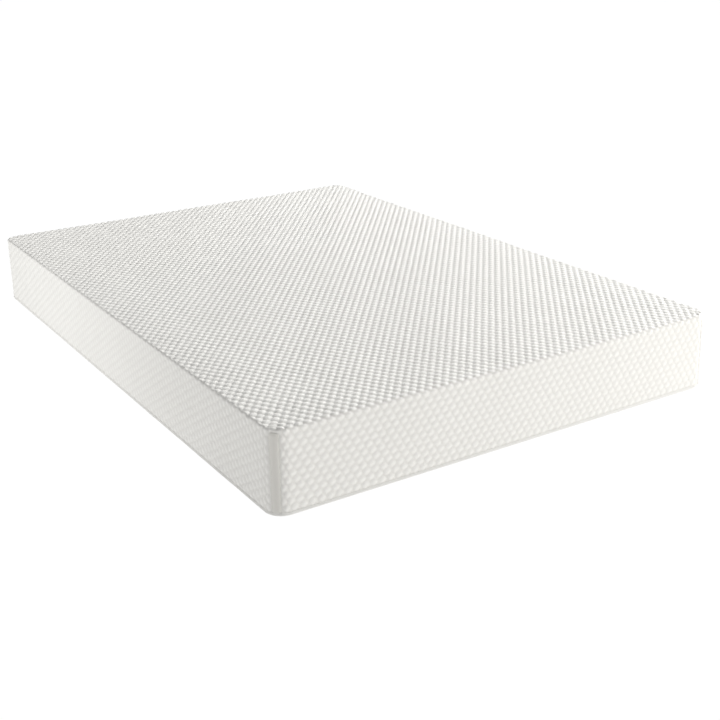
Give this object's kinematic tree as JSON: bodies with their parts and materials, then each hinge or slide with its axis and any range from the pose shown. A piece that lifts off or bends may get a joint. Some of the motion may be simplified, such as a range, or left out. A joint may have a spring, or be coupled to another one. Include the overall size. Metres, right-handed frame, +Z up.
{
  "type": "memory foam mattress",
  "caption": "Flat foam mattress with rounded corners in a bubble-textured knit cover, with plain corner strips, a plain hem band and a zip along the foot end.",
  "frame": {"origin": "middle of the underside", "axes": "+Z up through the thickness, +Y along the length towards the end with the zip, +X across the width"},
  "size_m": [1.4, 2.0046, 0.22],
  "materials": {
    "knit_cover": "stretch knit with rounded raised cells in staggered rows, off-white, matt",
    "plain_knit": "plain fine-rib knit, off-white, matt",
    "base_cloth": "woven underside cloth with small grip dots, pale grey",
    "fire_sock": "thin ribbed knit sock, white",
    "label": "blank woven satin label, white",
    "memory_foam": "slow-recovery open-cell foam, cream",
    "comfort_foam": "open-cell comfort foam, pale blue",
    "support_foam": "high-density open-cell support foam, white",
    "glue": "dried water-based foam glue, translucent cream",
    "zip_tape": "herringbone polyester zip tape, off-white",
    "zip_coil": "nylon coil, off-white",
    "zip_metal": "die-cast zinc with a satin nickel finish"
  },
  "bodies": {
    "mattress": {"cover_top": "knit_cover", "hem_band": "plain_knit", "base_panel": "base_cloth", "fire_sock": "fire_sock", "care_label": "label", "memory_foam_layer": "memory_foam", "upper_glue_film": "glue", "comfort_foam_layer": "comfort_foam", "lower_glue_film": "glue", "support_foam_base": "support_foam", "corner_strip_front_left": "plain_knit", "corner_strip_front_right": "plain_knit", "corner_strip_back_left": "plain_knit", "corner_strip_back_right": "plain_knit", "zip_tape_lower": "zip_tape", "zip_tape_upper": "zip_tape", "zip_coil_lower": "zip_coil", "zip_coil_upper": "zip_coil", "zip_stop_open": "zip_metal", "zip_stop_closed": "zip_metal"},
    "zip_slider": {"zip_slider": "zip_metal"},
    "zip_pull_tab": {"zip_pull_tab": "zip_metal"}
  },
  "joints": [
    {"name": "zip_slide", "type": "slide", "parent": "mattress", "child": "zip_slider", "axis": [-1, 0, 0], "range_m": [0, 1.192]},
    {"name": "pull_tab_swing", "type": "hinge", "parent": "zip_slider", "child": "zip_pull_tab", "pos_m": [0.596, 1.0019, 0.025], "axis": [0, 0, -1], "range_deg": [0, 180]}
  ]
}
